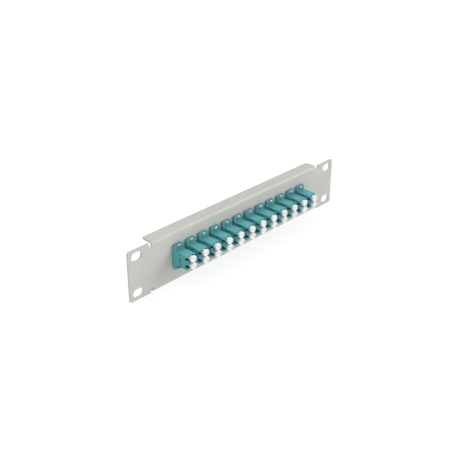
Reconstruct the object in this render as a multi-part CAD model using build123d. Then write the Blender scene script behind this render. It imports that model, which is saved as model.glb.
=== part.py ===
from build123d import *
import os

# Fibre patch panel, ten inches wide and one rack unit high.
# A folded steel sheet carries a row of duplex fibre adapters, each held by two small
# screws and nuts. Every port is closed by a push-in dust cap, in front and behind.
#
# Frame, in millimetres: +X to the right seen from the front, +Y back into the rack, +Z up.
# The origin is the centre of the sheet's front face, on the line between the rack slots.

# Sheet
panel_width = 254.0
panel_height = 44.0
sheet = 1.5
bend_inner_radius = 1.0
lip_depth = 12.0
ear_width = 24.5
lip_corner_radius = 2.5
ear_corner_radius = 2.2
relief_width = 2.7
relief_depth = 4.5

# Rack slots in the ears
slot_from_side = 8.7375
slot_spacing_z = 31.75
slot_length = 10.0
slot_width = 7.0

# Row of adapters
adapter_count = 12
adapter_pitch = 13.97
adapter_row_z = 0.6
cutout_clearance = 0.2
cutout_corner_radius = 0.5

# Adapter housing, moulded as two like halves that meet in the middle of the flange
body_width = 9.3
body_height = 12.4
body_half_length = 14.6
body_edge_chamfer = 0.3
flange_width = 9.4
flange_height = 21.8
flange_thickness = 2.6
flange_corner_radius = 1.2
middle_wall = 1.0

# Ports, one above the other, with the latch slot on the -X side
port_pitch = 6.25
port_axis_x = 0.35
port_square = 4.65
port_below_axis = 3.6
port_corner_chamfer = 0.7
shoulder_width = 4.3
shoulder_height = 1.75
latch_slot_width = 2.7
latch_wall = 0.7
mouth_notch_depth = 2.0
window_width = 0.8
window_length = 2.8
window_offset = 1.77
window_from_flange = 4.6

# Sleeve that lines up two ferrules, and the round holder that it floats in
sleeve_outer = 1.62
sleeve_bore = 1.25
sleeve_length = 6.8
sleeve_slit = 0.3
sleeve_play = 0.04
holder_diameter = 2.75
holder_lip = 0.8
holder_lip_bore = 1.4

# Dust cap: a tube that grips the sleeve holder, a cone and a round head
cap_tube_diameter = 3.4
cap_grip_clearance = 0.05
cap_grip_length = 3.0
cap_head_diameter = 5.95
cap_head_back = 2.3
cap_head_face = 3.3
cap_cone_start = 1.5
cap_dimple_diameter = 2.0
cap_dimple_depth = 0.4

# Screws and nuts, M2
screw_spacing = 18.0
screw_diameter = 2.0
screw_length = 8.0
screw_hole_clearance = 0.15
thread_clearance = 0.03
screw_head_diameter = 3.6
screw_head_height = 1.2
recess_length = 2.0
recess_width = 0.5
recess_depth = 0.6
nut_across_flats = 4.0
nut_thickness = 1.6

# Places worked out from the sizes above
lip_width = panel_width - 2 * ear_width
slot_spacing_x = panel_width - 2 * slot_from_side
adapter_middle_y = -flange_thickness / 2
mouth_y = adapter_middle_y - body_half_length
adapter_xs = [(i - (adapter_count - 1) / 2) * adapter_pitch for i in range(adapter_count)]
port_zs = [port_pitch / 2, -port_pitch / 2]
holder_reach = sleeve_length / 2 + sleeve_play + holder_lip
port_floor_x = port_axis_x + port_below_axis
square_top_x = port_floor_x - port_square
shoulder_top_x = square_top_x - shoulder_height
slot_top_x = -body_width / 2 + latch_wall
screw_hole_diameter = screw_diameter + 2 * screw_hole_clearance


def block(low, high):
    """A box between two opposite corners."""
    size = [b - a for a, b in zip(low, high)]
    middle = [(a + b) / 2 for a, b in zip(low, high)]
    return Pos(*middle) * Box(*size)


def front_plane(y):
    """A plane at depth y that faces the front: its x is +X and its y is +Z."""
    return Plane(origin=(0, y, 0), x_dir=(1, 0, 0), z_dir=(0, -1, 0))


def rod(diameter, front, back, x=0.0, z=0.0):
    """A round bar along Y, from depth front to depth back."""
    return extrude(front_plane(back) * Pos(x, z) * Circle(diameter / 2), back - front)


def turned(points):
    """A solid turned about the Y axis from (radius, depth) points."""
    outline = Polyline(*[(r, y, 0) for r, y in points], close=True)
    return revolve(make_face(outline), Axis.Y)


def make_panel():
    """The folded sheet: a face with two ears, a lip bent back along the top and bottom."""
    half_w, half_h, half_lip = panel_width / 2, panel_height / 2, lip_width / 2
    outer_radius = bend_inner_radius + sheet

    channel_outline = Rectangle(2 * lip_depth, panel_height)
    channel_outline = fillet(channel_outline.vertices(), outer_radius)
    channel_hollow = Rectangle(2 * (lip_depth - sheet), panel_height - 2 * sheet)
    channel_hollow = fillet(channel_hollow.vertices(), bend_inner_radius)
    section = channel_outline - channel_hollow
    section_plane = Plane(origin=(-half_lip, lip_depth, 0), x_dir=(0, 1, 0), z_dir=(1, 0, 0))
    channel = extrude(section_plane * section, lip_width)
    channel -= block((-half_w, lip_depth, -panel_height), (half_w, 3 * lip_depth, panel_height))
    rear_corners = channel.edges().filter_by(Axis.Z).sort_by(Axis.Y)[-4:]
    channel = fillet(rear_corners, lip_corner_radius)

    ears = Rectangle(panel_width, panel_height)
    ears = fillet(ears.vertices(), ear_corner_radius)
    ears -= Rectangle(lip_width, panel_height)
    for side in (-1, 1):
        for end in (-1, 1):
            notch = Pos(side * (half_lip + relief_width / 2), end * half_h)
            notch *= SlotOverall(2 * relief_depth, relief_width, rotation=90)
            ears -= notch
    panel = channel + extrude(front_plane(sheet) * ears, sheet)

    holes = Sketch() + [
        Pos(side * slot_spacing_x / 2, end * slot_spacing_z / 2) * SlotOverall(slot_length, slot_width)
        for side in (-1, 1)
        for end in (-1, 1)
    ]
    cutout = RectangleRounded(
        body_width + 2 * cutout_clearance, body_height + 2 * cutout_clearance, cutout_corner_radius
    )
    for x in adapter_xs:
        holes += Pos(x, adapter_row_z) * cutout
        for end in (-1, 1):
            holes += Pos(x, adapter_row_z + end * screw_spacing / 2) * Circle(screw_hole_diameter / 2)
    return panel - extrude(front_plane(sheet) * holes, sheet)


def bar(left, right, height):
    """A flat rectangle from x = left to x = right, centred on the x axis."""
    return Pos((left + right) / 2, 0) * Rectangle(right - left, height)


def make_port():
    """The hollow of one port at the height of its ferrule axis."""
    square = bar(square_top_x, port_floor_x, port_square)
    square = chamfer(square.vertices().group_by(Axis.X)[-1], port_corner_chamfer)
    shoulder = bar(shoulder_top_x, port_axis_x, shoulder_width)
    slot = bar(slot_top_x, port_axis_x, latch_slot_width)
    outline = square + shoulder + slot
    return extrude(front_plane(-middle_wall) * outline, body_half_length - middle_wall)


def make_half_housing():
    """The front half of an adapter, about the middle of its flange."""
    body_outline = Rectangle(body_width, body_height)
    body_outline = chamfer(body_outline.vertices(), body_edge_chamfer)
    body = extrude(front_plane(0) * body_outline, body_half_length)
    flange = RectangleRounded(flange_width, flange_height, flange_corner_radius)
    half = body + extrude(front_plane(0) * flange, flange_thickness / 2)
    for z in port_zs:
        half -= Pos(0, 0, z) * make_port()
        half -= block(
            (-body_width, -body_half_length, z - latch_slot_width / 2),
            (slot_top_x, -body_half_length + mouth_notch_depth, z + latch_slot_width / 2),
        )
        for side in (-1, 1):
            window_z = z + side * window_offset
            window_y = -flange_thickness / 2 - window_from_flange
            half -= block(
                (-body_width, window_y - window_length, window_z - window_width / 2),
                (square_top_x, window_y, window_z + window_width / 2),
            )
        half += rod(holder_diameter, -holder_reach, -middle_wall, port_axis_x, z)
        half -= rod(sleeve_outer + 2 * sleeve_play, -holder_reach + holder_lip, 0, port_axis_x, z)
        half -= rod(holder_lip_bore, -holder_reach, 0, port_axis_x, z)
    for end in (-1, 1):
        half -= rod(screw_hole_diameter, -flange_thickness, 0, 0, end * screw_spacing / 2)
    return half


def make_sleeve():
    """A split sleeve about the middle of an adapter."""
    sleeve = rod(sleeve_outer, -sleeve_length / 2, sleeve_length / 2)
    sleeve -= rod(sleeve_bore, -sleeve_length / 2, sleeve_length / 2)
    slit = block((0, -sleeve_length, -sleeve_slit / 2), (sleeve_outer, sleeve_length, sleeve_slit / 2))
    return sleeve - slit


def make_cap():
    """A dust cap about its port's mouth, its head towards the front."""
    tube_r = cap_tube_diameter / 2
    head_r = cap_head_diameter / 2
    bore_r = holder_diameter / 2 + cap_grip_clearance
    dimple_r = cap_dimple_diameter / 2
    holder_tip = body_half_length - holder_reach
    tube_end = holder_tip + cap_grip_length
    bore_floor = holder_tip - cap_grip_length
    edge = (cap_head_face - cap_head_back) / 3
    return turned([
        (0, -cap_head_face + cap_dimple_depth),
        (dimple_r, -cap_head_face + cap_dimple_depth),
        (dimple_r, -cap_head_face),
        (head_r - edge, -cap_head_face),
        (head_r, -cap_head_face + edge),
        (head_r, -cap_head_back),
        (tube_r, cap_cone_start),
        (tube_r, tube_end),
        (bore_r, tube_end),
        (bore_r, bore_floor),
        (0, bore_floor),
    ])


def make_screw():
    """A pan-head screw about its seat, its head towards the front."""
    head_r = screw_head_diameter / 2
    shank_r = screw_diameter / 2
    head = turned([
        (0, 0), (0, -screw_head_height), (0.45 * head_r, -screw_head_height),
        (0.85 * head_r, -0.8 * screw_head_height), (head_r, -0.35 * screw_head_height), (head_r, 0),
    ])
    screw = head + rod(2 * shank_r, 0, screw_length)
    for angle in (0, 90):
        screw -= Rot(0, angle, 0) * block(
            (-recess_length / 2, -screw_head_height, -recess_width / 2),
            (recess_length / 2, -screw_head_height + recess_depth, recess_width / 2),
        )
    return screw


def make_nut():
    """A hexagon nut with its seat at depth zero and a flat towards the adapter's body."""
    outline = RegularPolygon(nut_across_flats / 2, 6, major_radius=False, rotation=30)
    nut = extrude(front_plane(nut_thickness) * outline, nut_thickness)
    return nut - rod(screw_diameter + 2 * thread_clearance, 0, nut_thickness)


def save(name, solids):
    """Writes one node, a single solid or a group of separate ones."""
    shape = solids[0] if len(solids) == 1 else Compound(children=solids)
    shape.label = name
    export_step(shape, f"parts/{name}.step")


os.makedirs("parts", exist_ok=True)
front_half = make_half_housing()
rear_half = mirror(front_half, Plane.XZ)
front_cap = make_cap()
rear_cap = mirror(front_cap, Plane.XZ)
rear_mouth_y = adapter_middle_y + body_half_length
port_names = ("upper", "lower")
sleeves, screws, nuts, rear_caps = [], [], [], []

save("panel", [make_panel()])
for number, x in enumerate(adapter_xs, start=1):
    place = Pos(x, adapter_middle_y, adapter_row_z)
    save(f"front_housing_{number:02d}", [place * front_half])
    save(f"rear_housing_{number:02d}", [place * rear_half])
    for port_name, z in zip(port_names, port_zs):
        port_x = x + port_axis_x
        port_z = adapter_row_z + z
        save(f"front_cap_{number:02d}_{port_name}", [Pos(port_x, mouth_y, port_z) * front_cap])
        rear_caps.append(Pos(port_x, rear_mouth_y, port_z) * rear_cap)
        sleeves.append(Pos(port_x, adapter_middle_y, port_z) * make_sleeve())
    for end in (-1, 1):
        screw_z = adapter_row_z + end * screw_spacing / 2
        screws.append(Pos(x, -flange_thickness, screw_z) * make_screw())
        nuts.append(Pos(x, sheet, screw_z) * make_nut())
save("alignment_sleeves", sleeves)
save("flange_screws", screws)
save("flange_nuts", nuts)
save("rear_caps", rear_caps)
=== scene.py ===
import math

import bpy
import numpy as np
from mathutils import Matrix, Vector


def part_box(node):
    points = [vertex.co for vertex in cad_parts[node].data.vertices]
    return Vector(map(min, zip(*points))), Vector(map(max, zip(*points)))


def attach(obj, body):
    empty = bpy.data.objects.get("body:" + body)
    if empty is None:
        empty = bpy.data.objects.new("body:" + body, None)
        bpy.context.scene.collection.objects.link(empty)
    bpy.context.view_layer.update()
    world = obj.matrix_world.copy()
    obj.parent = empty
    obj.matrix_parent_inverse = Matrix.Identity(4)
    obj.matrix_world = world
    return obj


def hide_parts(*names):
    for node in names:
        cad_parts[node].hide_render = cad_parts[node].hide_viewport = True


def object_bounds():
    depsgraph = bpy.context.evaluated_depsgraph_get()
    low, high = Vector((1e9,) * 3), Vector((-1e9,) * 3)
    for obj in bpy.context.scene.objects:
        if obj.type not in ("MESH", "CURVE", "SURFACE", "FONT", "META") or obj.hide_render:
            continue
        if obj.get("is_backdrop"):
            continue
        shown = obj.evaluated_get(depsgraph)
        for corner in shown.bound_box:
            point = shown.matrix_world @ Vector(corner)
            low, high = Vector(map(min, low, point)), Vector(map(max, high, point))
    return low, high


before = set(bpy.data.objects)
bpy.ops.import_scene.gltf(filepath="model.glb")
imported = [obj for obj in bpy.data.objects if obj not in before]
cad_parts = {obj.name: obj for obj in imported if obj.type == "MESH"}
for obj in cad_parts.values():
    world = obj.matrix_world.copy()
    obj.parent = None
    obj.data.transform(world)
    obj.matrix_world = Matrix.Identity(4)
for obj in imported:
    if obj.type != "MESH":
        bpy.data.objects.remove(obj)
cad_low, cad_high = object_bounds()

# Folded sheet panel
# One sheet of 1.5 mm steel, punched, then folded back along the top and bottom. It is powder
# coated light grey after folding, so the coat rounds every edge and has a fine orange-peel skin.
coat_light = (0.512, 0.509, 0.476, 1.0)
coat_shade = (0.488, 0.486, 0.454, 1.0)
coat_edge_radius = 0.00022
coat_gloss = (0.40, 0.52)
coat_one_plane_degrees = 0.5
clouds_per_millimetre = 0.03
gloss_drifts_per_millimetre = 0.25
peel_per_millimetre = 0.9
peel_height = 0.00004
fine_peel_per_millimetre = 4.0
fine_peel_height = 0.00001
fine_peel_strength = 0.2
cloud_detail = 4.0
drift_detail = 3.0
noise_middle = (0.36, 0.64)
weld_distance = 0.000001
sharp_edge_degrees = 40
rounding_steps = 2
flat_face_weight = 100


def start_finish(name):
    """A new material with its node tree and shader, and a maker of noise in Object coordinates."""
    material = bpy.data.materials.new(name)
    material.use_nodes = True
    tree = material.node_tree
    shader = tree.nodes["Principled BSDF"]
    place = tree.nodes.new("ShaderNodeTexCoord")

    def noise(per_millimetre, detail=2.0):
        texture = tree.nodes.new("ShaderNodeTexNoise")
        texture.inputs["Scale"].default_value = per_millimetre * 1000
        texture.inputs["Detail"].default_value = detail
        tree.links.new(place.outputs["Object"], texture.inputs["Vector"])
        return texture.outputs["Fac"]

    return material, tree, shader, noise


def vary_tone(tree, pattern, first, second, socket):
    """Blends two tones by a noise pattern, over the middle of the noise's range."""
    ramp = tree.nodes.new("ShaderNodeValToRGB")
    ramp.color_ramp.elements[0].position = noise_middle[0]
    ramp.color_ramp.elements[0].color = first
    ramp.color_ramp.elements[1].position = noise_middle[1]
    ramp.color_ramp.elements[1].color = second
    tree.links.new(pattern, ramp.inputs["Fac"])
    tree.links.new(ramp.outputs["Color"], socket)


def vary_gloss(tree, pattern, low, high, socket):
    """Carries the middle of a noise's range onto a socket as values from low to high."""
    ranged = tree.nodes.new("ShaderNodeMapRange")
    ranged.inputs["From Min"].default_value = noise_middle[0]
    ranged.inputs["From Max"].default_value = noise_middle[1]
    ranged.inputs["To Min"].default_value = low
    ranged.inputs["To Max"].default_value = high
    tree.links.new(pattern, ranged.inputs["Value"])
    tree.links.new(ranged.outputs["Result"], socket)


def raise_skin(tree, pattern, height, shader, strength=0.3, under=None):
    """A bump of the given height in metres, laid over another bump if one is given."""
    bump = tree.nodes.new("ShaderNodeBump")
    bump.inputs["Strength"].default_value = strength
    bump.inputs["Distance"].default_value = height
    tree.links.new(pattern, bump.inputs["Height"])
    if under is not None:
        tree.links.new(under, bump.inputs["Normal"])
    tree.links.new(bump.outputs["Normal"], shader.inputs["Normal"])
    return bump.outputs["Normal"]


def powder_coat():
    """Very faint clouds of tone, a satin gloss that wanders, and a skin of peel with a finer one over it."""
    material, tree, shader, noise = start_finish("powder_coat")
    clouds = noise(clouds_per_millimetre, cloud_detail)
    vary_tone(tree, clouds, coat_shade, coat_light, shader.inputs["Base Color"])
    drifts = noise(gloss_drifts_per_millimetre, drift_detail)
    vary_gloss(tree, drifts, coat_gloss[0], coat_gloss[1], shader.inputs["Roughness"])
    peel = raise_skin(tree, noise(peel_per_millimetre), peel_height, shader)
    raise_skin(tree, noise(fine_peel_per_millimetre), fine_peel_height, shader, fine_peel_strength, peel)
    return material


def round_edges(node, radius, one_plane_degrees=0.0):
    """Joins a CAD node's loose triangles as it is drawn and rounds its sharp edges, with the flat faces kept
    flat. Triangles whose planes differ by less than the given angle can be made one face first."""
    weld = node.modifiers.new("weld", "WELD")
    weld.merge_threshold = weld_distance
    if one_plane_degrees:
        planes = node.modifiers.new("one_plane", "DECIMATE")
        planes.decimate_type = "DISSOLVE"
        planes.angle_limit = math.radians(one_plane_degrees)
    edges = node.modifiers.new("rounded_edges", "BEVEL")
    edges.width = radius
    edges.segments = rounding_steps
    edges.limit_method = "ANGLE"
    edges.angle_limit = math.radians(sharp_edge_degrees)
    edges.use_clamp_overlap = False
    edges.loop_slide = not one_plane_degrees
    flats = node.modifiers.new("flat_faces", "WEIGHTED_NORMAL")
    flats.mode = "FACE_AREA"
    flats.weight = flat_face_weight


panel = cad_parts["panel"]
panel.data.materials.clear()
panel.data.materials.append(powder_coat())
round_edges(panel, coat_edge_radius, coat_one_plane_degrees)

# Adapter housings
# Two like halves of aqua plastic, moulded with a spark-eroded satin face. They are welded together
# in the middle of the flange, which leaves a fine groove, and two screws hold each pair on the sheet.
aqua_light = (0.079, 0.342, 0.373, 1.0)
aqua_deep = (0.071, 0.316, 0.345, 1.0)
aqua_roughness = 0.42
aqua_grain = 0.35
housing_edge_radius = 0.00009
flow_per_millimetre = 0.12
uneven_gloss_per_millimetre = 0.6
glossier = 0.04
duller = 0.06
grain_per_millimetre = 5.0
grain_height = 0.000012


def moulded_plastic(name, first, second, roughness, grain):
    """Two close tones that flow, an uneven gloss, and the tool's fine grain."""
    material, tree, shader, noise = start_finish(name)
    flow = noise(flow_per_millimetre, drift_detail)
    vary_tone(tree, flow, second, first, shader.inputs["Base Color"])
    uneven = noise(uneven_gloss_per_millimetre, drift_detail)
    vary_gloss(tree, uneven, roughness - glossier, roughness + duller, shader.inputs["Roughness"])
    raise_skin(tree, noise(grain_per_millimetre), grain_height, shader, grain)
    return material


aqua_plastic = moulded_plastic("aqua_plastic", aqua_light, aqua_deep, aqua_roughness, aqua_grain)
for name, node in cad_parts.items():
    if "_housing_" in name:
        node.data.materials.clear()
        node.data.materials.append(aqua_plastic)
        round_edges(node, housing_edge_radius)

# Alignment sleeves
# Split tubes of white zirconia, fired, then ground and polished. Each floats in the round holders of a
# front port and the rear port behind it, and lines up the two ferrules that are pushed in.
zirconia_light = (0.86, 0.85, 0.80, 1.0)
zirconia_shade = (0.82, 0.81, 0.77, 1.0)
zirconia_roughness = 0.14
zirconia_grain = 0.05
sleeve_edge_radius = 0.00003
zirconia = moulded_plastic("zirconia", zirconia_light, zirconia_shade, zirconia_roughness, zirconia_grain)
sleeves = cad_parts["alignment_sleeves"]
sleeves.data.materials.clear()
sleeves.data.materials.append(zirconia)
round_edges(sleeves, sleeve_edge_radius)

# Dust caps
# Soft, slightly milky white plastic plugs, moulded in one piece: a tube that grips the sleeve holder, a
# cone and a round head with a dimple where the plastic was let in. One is pushed into each port, front
# and back.
cap_white = (0.762, 0.776, 0.763, 1.0)
cap_shade = (0.732, 0.748, 0.736, 1.0)
cap_roughness = 0.40
cap_grain = 0.20
cap_milkiness = 0.3
cap_light_depth = 0.0010
cap_light_spread = (1.0, 1.0, 1.0)
cap_steps = 48
cap_head_radius = 0.002975
cap_tube_radius = 0.0017
cap_bore_radius = 0.001425
cap_bore_depth = 0.0060
cap_head_thickness = 0.0010
cap_cone_length = 0.0038
cap_dimple_radius = 0.0010
cap_dimple_depth = 0.0006
cap_dimple_slope = 0.8
cap_dimple_floor_radius = 0.0002
cap_dimple_edge_radius = 0.00015
cap_rim_radius = 0.00030
cap_cone_foot_radius = 0.0006
cap_mouth_radius = 0.0001
cap_bore_end_radius = 0.0002
corner_share_of_line = 0.38
straight_share_of_reach = 0.25
sharp_crease_degrees = 38


def soften_corners(points, radii, steps=4):
    """A profile with rounded corners: p(s) = (1 - s)^2 start + 2 s (1 - s) corner + s^2 end, where start and
    end lie on the corner's two lines, radius / tan(half the corner) away. A point on each line beside them
    keeps it straight."""
    points = np.asarray(points, float)
    path = [points[0]]
    for before, corner, after, radius in zip(points[:-2], points[1:-1], points[2:], radii):
        back, ahead = before - corner, after - corner
        room = corner_share_of_line * min(np.linalg.norm(back), np.linalg.norm(ahead))
        back, ahead = back / np.linalg.norm(back), ahead / np.linalg.norm(ahead)
        half = 0.5 * math.acos(float(np.clip(back @ ahead, -1.0, 1.0)))
        reach = min(radius / math.tan(half), room)
        share = np.linspace(0.0, 1.0, steps + 1)[:, None]
        start, end = corner + back * reach, corner + ahead * reach
        curve = (1 - share) ** 2 * start + 2 * share * (1 - share) * corner + share ** 2 * end
        beside = straight_share_of_reach * reach
        path.extend([start + beside * back, *curve, end + beside * ahead])
    path.append(points[-1])
    return np.array(path)


def closed_shell(rings, first_pole, last_pole):
    """Rings of points along +Y, each joined to the next by four-sided faces, with a fan to a pole at each
    end."""
    rows, steps = rings.shape[:2]
    here = np.arange(steps)
    following = np.roll(here, -1)
    row = np.arange(rows - 1)[:, None] * steps
    last = (rows - 1) * steps
    quads = np.stack([row + here, row + steps + here, row + steps + following, row + following], axis=-1)
    first_fan = np.stack([np.full(steps, rows * steps), here, following], axis=-1)
    last_fan = np.stack([np.full(steps, rows * steps + 1), last + following, last + here], axis=-1)
    points = np.vstack([rings.reshape(-1, 3), [first_pole, last_pole]])
    return points, quads.reshape(-1, 4).tolist() + first_fan.tolist() + last_fan.tolist()


def turned_shell(profile, axis_x, axis_z, steps):
    """Carries (radius, y) points round a line along Y: x = axis_x + radius cos a, z = axis_z + radius sin a,
    where the first and last points have no radius and are the poles."""
    angles = np.arange(steps) * 2 * math.pi / steps
    rings = profile[1:-1]
    grid = np.stack([
        axis_x + rings[:, :1] * np.cos(angles),
        np.repeat(rings[:, 1:], steps, axis=1),
        axis_z + rings[:, :1] * np.sin(angles),
    ], axis=-1)
    return closed_shell(grid, (axis_x, profile[0, 1], axis_z), (axis_x, profile[-1, 1], axis_z))


def join_shells(shells):
    """Stacks the points of several shells, and moves each one's faces along to match."""
    points, faces, start = [], [], 0
    for shell_points, shell_faces in shells:
        points.append(shell_points)
        faces.extend([[start + corner for corner in face] for face in shell_faces])
        start += len(shell_points)
    return np.vstack(points), faces


def new_piece(name, shells, material, body, replaced):
    """One smooth mesh object from its shells, riding on a body in place of a CAD node."""
    points, faces = join_shells(shells)
    mesh = bpy.data.meshes.new(name)
    mesh.from_pydata(points.tolist(), [], faces)
    mesh.materials.append(material)
    mesh.shade_smooth()
    mesh.set_sharp_from_angle(angle=math.radians(sharp_crease_degrees))
    piece = bpy.data.objects.new(name, mesh)
    bpy.context.scene.collection.objects.link(piece)
    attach(piece, body)
    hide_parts(replaced)
    return piece


def cap_shell(axis_x, axis_z, face_y, inner_y):
    """A cap turned from its profile, which runs from the dimple over the head, down the cone and along the
    tube, then back up the bore. Inwards is +Y where the head faces the front and -Y behind."""
    inwards = 1.0 if inner_y > face_y else -1.0
    length = abs(inner_y - face_y)
    outline = [
        (0.0, cap_dimple_depth),
        (cap_dimple_radius - cap_dimple_slope * cap_dimple_depth, cap_dimple_depth),
        (cap_dimple_radius, 0.0),
        (cap_head_radius, 0.0),
        (cap_head_radius, cap_head_thickness),
        (cap_tube_radius, cap_head_thickness + cap_cone_length),
        (cap_tube_radius, length),
        (cap_bore_radius, length),
        (cap_bore_radius, length - cap_bore_depth),
        (0.0, length - cap_bore_depth),
    ]
    radii = [
        cap_dimple_floor_radius, cap_dimple_edge_radius, cap_rim_radius, cap_rim_radius,
        cap_cone_foot_radius, cap_mouth_radius, cap_mouth_radius, cap_bore_end_radius,
    ]
    profile = soften_corners(outline, radii)
    profile[:, 1] = face_y + inwards * profile[:, 1]
    points, faces = turned_shell(profile, axis_x, axis_z, cap_steps)
    return points, faces if inwards > 0 else [face[::-1] for face in faces]


cap_plastic = moulded_plastic("cap_plastic", cap_white, cap_shade, cap_roughness, cap_grain)
cap_shader = cap_plastic.node_tree.nodes["Principled BSDF"]
cap_shader.inputs["Subsurface Weight"].default_value = cap_milkiness
cap_shader.inputs["Subsurface Radius"].default_value = cap_light_spread
cap_shader.inputs["Subsurface Scale"].default_value = cap_light_depth
rear_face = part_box("rear_caps")[1].y
rear_shells = []
for name in sorted(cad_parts):
    if name.startswith("front_cap_"):
        low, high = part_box(name)
        axis_x = (low.x + high.x) / 2
        axis_z = (low.z + high.z) / 2
        shell = cap_shell(axis_x, axis_z, low.y, high.y)
        body = name.replace("front_cap", "cap")
        new_piece("dressed_" + name, [shell], cap_plastic, body, name)
        rear_inner = rear_face - (high.y - low.y)
        rear_shells.append(cap_shell(axis_x, axis_z, rear_face, rear_inner))
new_piece("dressed_rear_caps", rear_shells, cap_plastic, "panel_assembly", "rear_caps")

# Screws
# M2 pan-head screws of bright zinc-plated steel, with rolled threads and a cross recess. Two go
# through each flange and the sheet from the front.
zinc_light = (0.68, 0.71, 0.70, 1.0)
zinc_dark = (0.50, 0.52, 0.52, 1.0)
zinc_roughness = (0.20, 0.32)
zinc_tones_per_millimetre = 1.5
zinc_gloss_per_millimetre = 2.0
rolling_marks_per_millimetre = 6.0
rolling_mark_height = 0.00001
rolling_mark_strength = 0.2
screw_steps = 24
screw_pair_spacing = 0.018
screw_head_radius = 0.0018
screw_head_height = 0.0012
screw_thread_radius = 0.0010
screw_thread_depth = 0.00016
screw_pitch = 0.0004
screw_tip_chamfer = 0.0003
rows_per_pitch = 6
head_edge_share = 0.3
head_crown_power = 5
head_crown_rings = 8
recess_arm = 0.00095
recess_half_width = 0.00026
recess_wall = 0.00010
recess_depth = 0.0006
recess_ring_shares = (0.10, 0.24, 0.38, 0.50, 0.62, 0.80, 1.0)
recess_deep_share = 0.9
recess_foot_share = 0.6
recess_top_share = 0.8


def zinc_plate():
    """Bright zinc: a metal whose tone and gloss drift a little, with faint rolling marks."""
    material, tree, shader, noise = start_finish("zinc_plate")
    tones = noise(zinc_tones_per_millimetre, drift_detail)
    vary_tone(tree, tones, zinc_dark, zinc_light, shader.inputs["Base Color"])
    gloss = noise(zinc_gloss_per_millimetre)
    vary_gloss(tree, gloss, zinc_roughness[0], zinc_roughness[1], shader.inputs["Roughness"])
    marks = noise(rolling_marks_per_millimetre)
    raise_skin(tree, marks, rolling_mark_height, shader, rolling_mark_strength)
    shader.inputs["Metallic"].default_value = 1.0
    return material


def screw_head_rings(seat_y):
    """A pan head of height h (e + (1 - e) (1 - (r / R)^p)^0.5), where e is the share that its edge keeps and
    p the crown's power, less a cross recess. Six points to a quarter turn lie at 0, A, B, 45, 90 - B and
    90 - A degrees, where A and B are the foot and the top of the recess's side wall."""
    recess = np.array(recess_ring_shares) * recess_arm
    outwards = np.sin(np.linspace(0.0, 0.5, head_crown_rings + 1)[1:] * math.pi)
    crown = recess_arm + (screw_head_radius - recess_arm) * outwards
    radius = np.concatenate([recess, crown])[:, None]
    most_foot = math.sin(recess_foot_share * math.pi / 4)
    most_top = math.sin(recess_top_share * math.pi / 4)
    foot = np.arcsin(np.minimum(recess_half_width / radius, most_foot))
    top = np.arcsin(np.minimum((recess_half_width + recess_wall) / radius, most_top))
    foot = np.where(radius > recess_arm, math.pi / 12, foot)
    top = np.where(radius > recess_arm, math.pi / 6, top)
    middle = np.full_like(foot, math.pi / 4)
    quarter = np.hstack([0 * foot, foot, top, middle, math.pi / 2 - top, math.pi / 2 - foot])
    angles = np.hstack([quarter + turn * math.pi / 2 for turn in range(4)])
    across, up = radius * np.cos(angles), radius * np.sin(angles)
    nearest_arm = np.minimum(np.abs(across), np.abs(up))
    inside = np.clip((recess_half_width + recess_wall - nearest_arm) / recess_wall, 0.0, 1.0)
    inside = inside * (radius < recess_deep_share * recess_arm)
    share = radius / screw_head_radius
    crown_share = np.sqrt(np.clip(1.0 - share ** head_crown_power, 0.0, 1.0))
    height = screw_head_height * (head_edge_share + (1.0 - head_edge_share) * crown_share)
    height = height - recess_depth * inside
    return np.stack([across, seat_y - height, up], axis=-1)


def screw_thread_rings(seat_y, tip_y):
    """A thread of radius R - d (1 - cos(2 pi y / pitch - a)) / 2, cut down by a chamfer at the tip."""
    rows = int(round((tip_y - seat_y) / screw_pitch * rows_per_pitch)) + 1
    along = np.linspace(seat_y, tip_y, rows)[:, None]
    angles = np.arange(screw_steps) * 2 * math.pi / screw_steps
    wave = np.cos(2 * math.pi * along / screw_pitch - angles)
    radius = screw_thread_radius - screw_thread_depth * (1 - wave) / 2
    chamfer = screw_thread_radius - screw_tip_chamfer + (tip_y - along)
    radius = np.minimum(radius, chamfer)
    y = np.broadcast_to(along, radius.shape)
    return np.stack([radius * np.cos(angles), y, radius * np.sin(angles)], axis=-1)


def screw_shell(axis_x, axis_z, seat_y, tip_y):
    """A whole screw: head, the ring where it sits on the flange, thread and tip."""
    head = screw_head_rings(seat_y)
    seat = head[-1:].copy()
    seat[..., 1] = seat_y
    rings = np.concatenate([head, seat, screw_thread_rings(seat_y, tip_y)]) + (axis_x, 0.0, axis_z)
    floor_y = seat_y - screw_head_height + recess_depth
    return closed_shell(rings, (axis_x, floor_y, axis_z), (axis_x, tip_y, axis_z))


zinc = zinc_plate()
screws_low, screws_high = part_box("flange_screws")
screw_places = []
for name in sorted(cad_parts):
    if name.startswith("front_housing_"):
        low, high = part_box(name)
        for end in (-1, 1):
            screw_places.append(((low.x + high.x) / 2, (low.z + high.z + end * screw_pair_spacing) / 2))
seat_y = screws_low.y + screw_head_height
screw_shells = [screw_shell(x, z, seat_y, screws_high.y) for x, z in screw_places]
new_piece("dressed_flange_screws", screw_shells, zinc, "panel_assembly", "flange_screws")

# Nuts
# M2 hexagon nuts, turned from bar and zinc plated like the screws. One is tightened on the back of the
# sheet behind each screw, a flat towards the housing.
nut_steps = 48
nut_half_across_flats = 0.0020
nut_chamfer_circle = 0.0019
nut_bore_radius = 0.00103
nut_countersink = 0.00012


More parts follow.
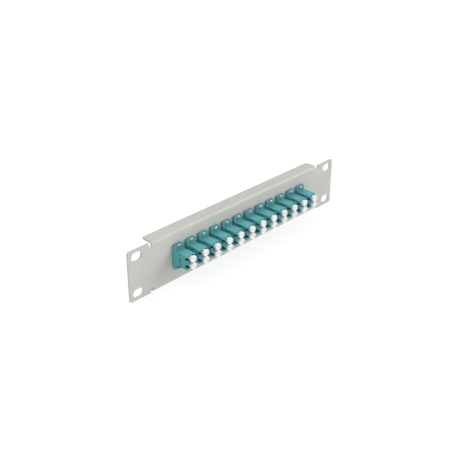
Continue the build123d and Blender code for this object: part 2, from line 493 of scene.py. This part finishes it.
def nut_shell(axis_x, axis_z, seat_y, back_y):
    """A ring of eight rows whose outer radius is F / cos(a mod 60 - 30 degrees), F being half the size
    across flats. Past the chamfer circle C, both faces fall away by (radius - C) tan 30."""
    angles = np.arange(nut_steps) * 2 * math.pi / nut_steps
    outer = nut_half_across_flats / np.cos(angles % (math.pi / 3) - math.pi / 6)
    drop = (outer - nut_chamfer_circle) * math.tan(math.pi / 6)
    mouth = nut_bore_radius + nut_countersink
    rows = [
        (mouth, seat_y), (nut_chamfer_circle, seat_y), (outer, seat_y + drop), (outer, back_y - drop),
        (nut_chamfer_circle, back_y), (mouth, back_y),
        (nut_bore_radius, back_y - nut_countersink), (nut_bore_radius, seat_y + nut_countersink),
    ]
    radius = np.stack([np.broadcast_to(row[0], angles.shape) for row in rows])
    along = np.stack([np.broadcast_to(row[1], angles.shape) for row in rows])
    points = np.stack([axis_x + radius * np.cos(angles), along, axis_z + radius * np.sin(angles)], axis=-1)
    here = np.arange(nut_steps)
    following = np.roll(here, -1)
    row = np.arange(len(rows))[:, None] * nut_steps
    next_row = np.roll(row, -1, axis=0)
    quads = np.stack([row + here, next_row + here, next_row + following, row + following], axis=-1)
    return points.reshape(-1, 3), quads.reshape(-1, 4).tolist()


nuts_low, nuts_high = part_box("flange_nuts")
nut_shells = [nut_shell(x, z, nuts_low.y, nuts_high.y) for x, z in screw_places]
new_piece("dressed_flange_nuts", nut_shells, zinc, "panel_assembly", "flange_nuts")

# Studio
# A wide white floor under the lower lip, lit from below too, as a light table is, so shadows stay faint.
# Gloss doesn't mirror it, so the undersides of caps and screws stay darker. Large soft lights stand above,
# to the left, to the right and in front, in a dim room with pale walls.
floor_size = 60.0
floor_tone = (0.27, 0.27, 0.27, 1.0)
floor_roughness = 0.9
floor_glow = 0.78
white = (1.0, 1.0, 1.0, 1.0)
floor_mesh = bpy.data.meshes.new("floor")
floor_square = np.array([(-1, -1, 0), (1, -1, 0), (1, 1, 0), (-1, 1, 0)]) * floor_size / 2
floor_mesh.from_pydata((floor_square + (0, 0, cad_low.z)).tolist(), [], [(0, 1, 2, 3)])
floor = bpy.data.objects.new("floor", floor_mesh)
bpy.context.scene.collection.objects.link(floor)
floor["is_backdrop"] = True
floor.visible_glossy = False
floor_material, _, floor_shader, _ = start_finish("floor")
floor_shader.inputs["Base Color"].default_value = floor_tone
floor_shader.inputs["Roughness"].default_value = floor_roughness
floor_shader.inputs["Emission Color"].default_value = white
floor_shader.inputs["Emission Strength"].default_value = floor_glow
floor_mesh.materials.append(floor_material)


def soft_light(name, towards, strength, spread_degrees=40.0):
    """A wide far lamp that stands in the given direction."""
    light = bpy.data.lights.new(name, "SUN")
    light.angle = math.radians(spread_degrees)
    light.energy = strength
    lamp = bpy.data.objects.new(name, light)
    bpy.context.scene.collection.objects.link(lamp)
    lamp.rotation_euler = (-Vector(towards)).to_track_quat("-Z", "Y").to_euler()


soft_light("front", (0.1, -1.0, 0.25), 0.28)
soft_light("above_behind", (0.1, 0.6, 1.0), 2.0)
soft_light("above_left", (-0.7, -0.2, 1.0), 0.55)
soft_light("left", (-1.0, -0.40, 0.20), 0.50)
soft_light("right", (0.9, -0.6, 0.5), 1.728)
soft_light("above_right", (0.55, -0.75, 0.9), 0.229)

# The room's brightness by the height of the direction, from -1 straight down to 1 straight up
below_light = 0.15
below_top = -0.06
wall_foot = -0.02
wall_light = 0.95
wall_top = 0.10
ceiling_foot = 0.30
ceiling_light = 0.10
world = bpy.data.worlds.new("room")
world.use_nodes = True
room = world.node_tree
direction = room.nodes.new("ShaderNodeTexCoord")
height = room.nodes.new("ShaderNodeSeparateXYZ")
walls = room.nodes.new("ShaderNodeMapRange")
walls.inputs["From Min"].default_value = wall_top
walls.inputs["From Max"].default_value = ceiling_foot
walls.inputs["To Min"].default_value = wall_light
walls.inputs["To Max"].default_value = ceiling_light
below = room.nodes.new("ShaderNodeMapRange")
below.inputs["From Min"].default_value = below_top
below.inputs["From Max"].default_value = wall_foot
below.inputs["To Min"].default_value = below_light / wall_light
below.inputs["To Max"].default_value = 1.0
strength = room.nodes.new("ShaderNodeMath")
strength.operation = "MULTIPLY"
room.links.new(direction.outputs["Generated"], height.inputs["Vector"])
room.links.new(height.outputs["Z"], walls.inputs["Value"])
room.links.new(height.outputs["Z"], below.inputs["Value"])
room.links.new(walls.outputs["Result"], strength.inputs[0])
room.links.new(below.outputs["Result"], strength.inputs[1])
room.links.new(strength.outputs["Value"], room.nodes["Background"].inputs["Strength"])
room.nodes["Background"].inputs["Color"].default_value = white
bpy.context.scene.world = world
bpy.context.scene.view_settings.view_transform = "Standard"

# Camera
# It stands in front of the panel, to the left and above, and looks at the middle of what it shows. Its
# place and lens were found from the panel's corners and slots.
view_azimuth = math.radians(-47.27)
view_elevation = math.radians(26.79)
view_distance = 0.7122
view_target = Vector((-0.01575, 0.0, 0.00095))
picture_side = 458
focal_pixels = 848.9
sensor_width = 36.0
nearest = 0.01
farthest = 100.0
camera_data = bpy.data.cameras.new("camera")
camera_data.sensor_width = sensor_width
camera_data.lens = sensor_width * focal_pixels / picture_side
camera_data.clip_start = nearest
camera_data.clip_end = farthest
camera = bpy.data.objects.new("camera", camera_data)
bpy.context.scene.collection.objects.link(camera)
back = Vector((
    math.sin(view_azimuth) * math.cos(view_elevation),
    -math.cos(view_azimuth) * math.cos(view_elevation),
    math.sin(view_elevation),
))
camera.location = view_target + back * view_distance
camera.rotation_mode = "QUATERNION"
camera.rotation_quaternion = (-back).to_track_quat("-Z", "Y")
bpy.context.scene.camera = camera

# Sizes
# The frame's box and the dressed model's box.
low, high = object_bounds()
